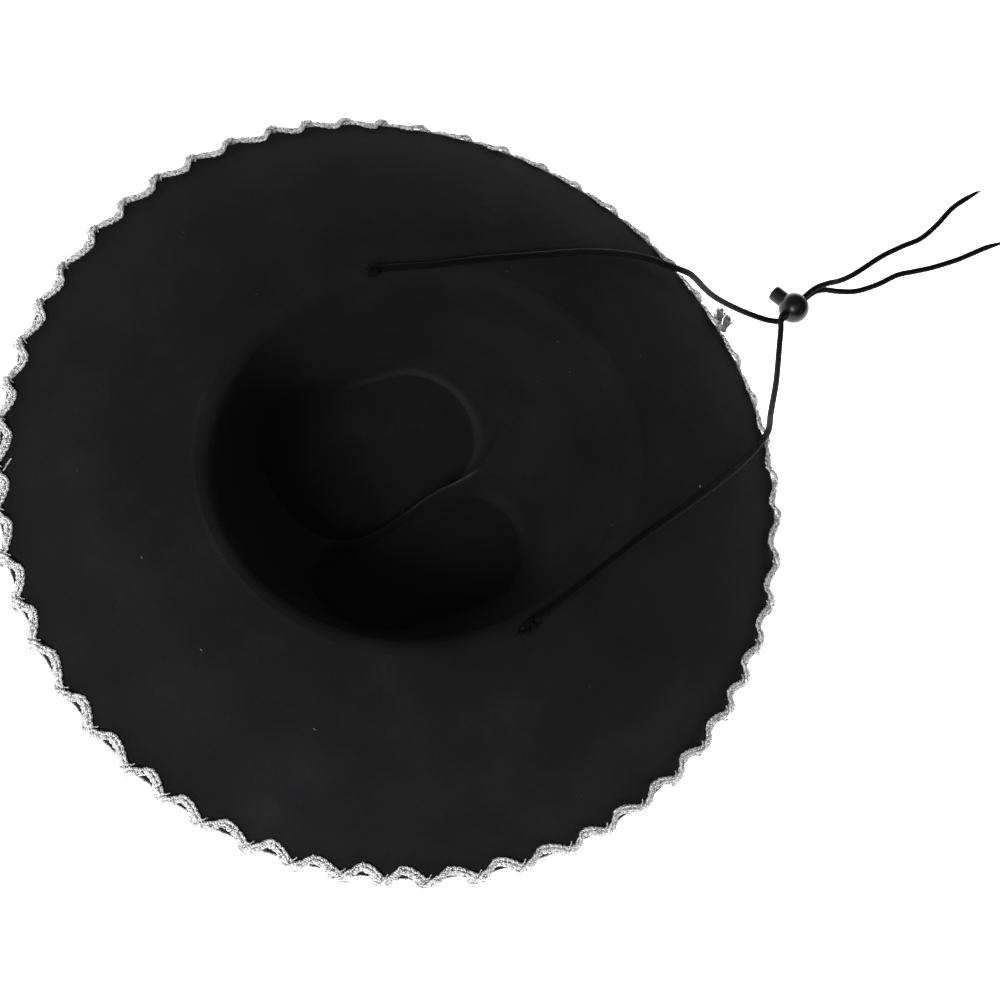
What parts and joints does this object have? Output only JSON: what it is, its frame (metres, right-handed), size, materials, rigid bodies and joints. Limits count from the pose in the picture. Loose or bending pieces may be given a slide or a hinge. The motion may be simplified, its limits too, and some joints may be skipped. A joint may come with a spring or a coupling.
{
  "type": "sombrero",
  "caption": "Child-size black felt sombrero lying mouth up: pinched crown, curled brim with a silver braided edge, and a chin cord with a sprung ball cord lock.",
  "frame": {"origin": "on the axis of the brim and the mouth, on the surface that the top of the crown rests on", "axes": "+Z out of the crown's mouth, -Y toward the hat's front, +X toward the wearer's left"},
  "size_m": [0.4016, 0.6612, 0.1184],
  "materials": {
    "felt": "matt pressed felt with a faint nap",
    "silver_braid": "metallic yarn, glittering",
    "silver_thread": "metallic thread",
    "cord": "matt braided cord",
    "lock_plastic": "polished",
    "button_plastic": "satin",
    "spring_steel": "bright wire"
  },
  "bodies": {
    "hat": {"felt_body": "felt", "rim_braid_strand_a": "silver_braid", "rim_braid_strand_b": "silver_braid", "brim_ring_braid": "silver_braid", "crown_band_braid": "silver_braid", "tack_stitches": "silver_thread", "cord_anchor_left": "cord", "cord_anchor_right": "cord", "chin_cord_left": "cord", "chin_cord_right": "cord"},
    "cord_lock": {"lock_body": "lock_plastic", "lock_spring": "spring_steel"},
    "plunger": {"lock_plunger": "button_plastic"}
  },
  "joints": [
    {"name": "lock_slide", "type": "slide", "parent": "hat", "child": "cord_lock", "axis": [0.3418, -0.9391, -0.0349], "range_m": [0, 0.008]},
    {"name": "plunger_press", "type": "slide", "parent": "cord_lock", "child": "plunger", "axis": [-0.9, -0.3378, 0.2755], "range_m": [0, 0.0024], "stiffness_N_per_m": 900, "springref_m": -0.001, "deforming": ["lock_spring"]}
  ]
}
